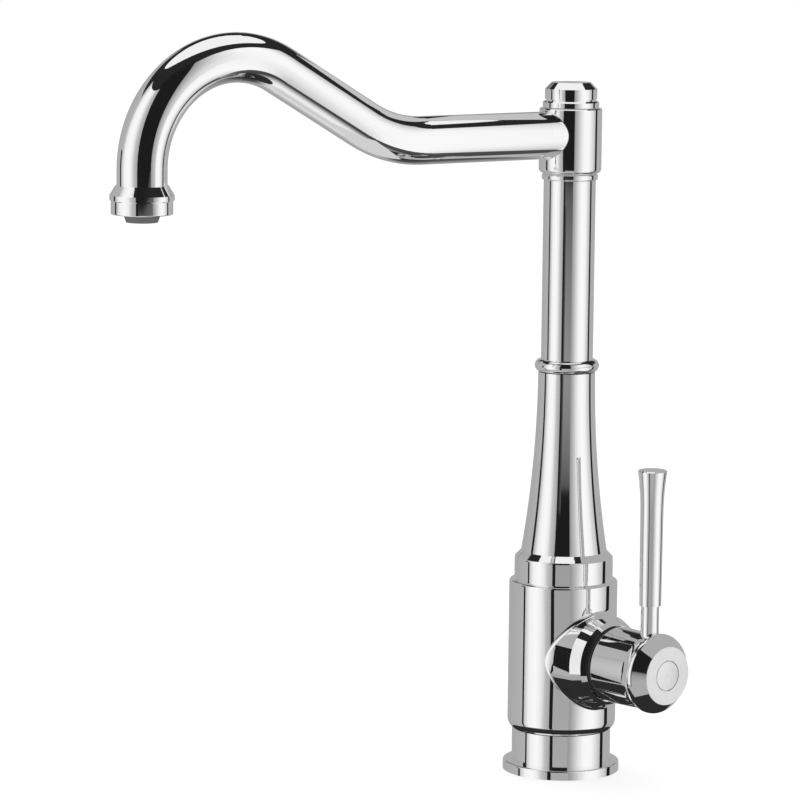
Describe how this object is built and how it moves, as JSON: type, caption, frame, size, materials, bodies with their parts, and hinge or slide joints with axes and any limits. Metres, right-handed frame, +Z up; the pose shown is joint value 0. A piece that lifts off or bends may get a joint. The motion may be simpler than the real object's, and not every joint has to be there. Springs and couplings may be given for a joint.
{
  "type": "basin mixer tap",
  "caption": "Tall chrome mixer tap: round stepped base, tapered column, swivelling crook spout with aerator and a side lever on a coned boss that mixes and shuts off water.",
  "frame": {"origin": "centre of the base flange's underside, on the column's axis, at the deck", "axes": "+Z up along the column, +X along the lever's axis towards the hub's face, -Y towards the user"},
  "size_m": [0.1088, 0.2715, 0.3501],
  "materials": {
    "chrome": "polished",
    "brass": "satin",
    "rubber": "matte",
    "slip_plastic": "satin",
    "grey_plastic": "matte",
    "moulded_plastic": "satin",
    "dark_plastic": "satin",
    "ceramic": "satin",
    "steel": "satin"
  },
  "bodies": {
    "body": {"base_flange": "chrome", "base_gasket": "rubber", "mixer_body": "chrome", "column_collar": "chrome", "column_seal": "rubber", "column_nipple": "brass", "tapered_column": "chrome", "bead_ring": "chrome", "column_tube": "chrome", "spigot": "brass", "spigot_orings": "rubber", "bearing_ring": "chrome", "lower_slip_washer": "slip_plastic", "upper_slip_washer": "slip_plastic", "cap_ring": "chrome", "cap_nut": "chrome", "bonnet_ring": "chrome", "cartridge_nut": "brass", "cartridge_housing": "moulded_plastic", "cartridge_base": "moulded_plastic", "port_seals": "rubber", "fixed_disc": "ceramic"},
    "spout": {"swivel_head": "chrome", "spout_tube": "chrome", "outlet_collar": "chrome", "aerator_shell": "chrome", "aerator_seal": "rubber", "aerator_insert": "grey_plastic", "aerator_screen": "steel"},
    "turret": {"cartridge_turret": "moulded_plastic", "pivot_pin": "steel", "dome_shield": "dark_plastic"},
    "lever": {"spindle": "brass", "lever_hub": "chrome", "handle_screw": "steel", "index_button": "chrome", "lever_stem": "chrome", "lever_grip": "chrome"},
    "disc": {"disc_carrier": "moulded_plastic", "moving_disc": "ceramic"}
  },
  "joints": [
    {"name": "spout_swivel", "type": "hinge", "parent": "body", "child": "spout", "pos_m": [0, 0, 0.2996], "axis": [0, 0, 1], "continuous": true},
    {"name": "temperature_turn", "type": "hinge", "parent": "body", "child": "turret", "pos_m": [0.02, 0, 0.0557], "axis": [1, 0, 0], "range_deg": [-45, 45]},
    {"name": "flow_tilt", "type": "hinge", "parent": "turret", "child": "lever", "pos_m": [0.02, 0, 0.0557], "axis": [0, 1, 0], "range_deg": [0, 25]},
    {"name": "disc_slide", "type": "slide", "parent": "turret", "child": "disc", "axis": [0, 0, 1], "range_m": [0, 0.004]}
  ],
  "couplings": [
    {"joint": "disc_slide", "follows": "flow_tilt", "m_per_rad": 0.009}
  ]
}
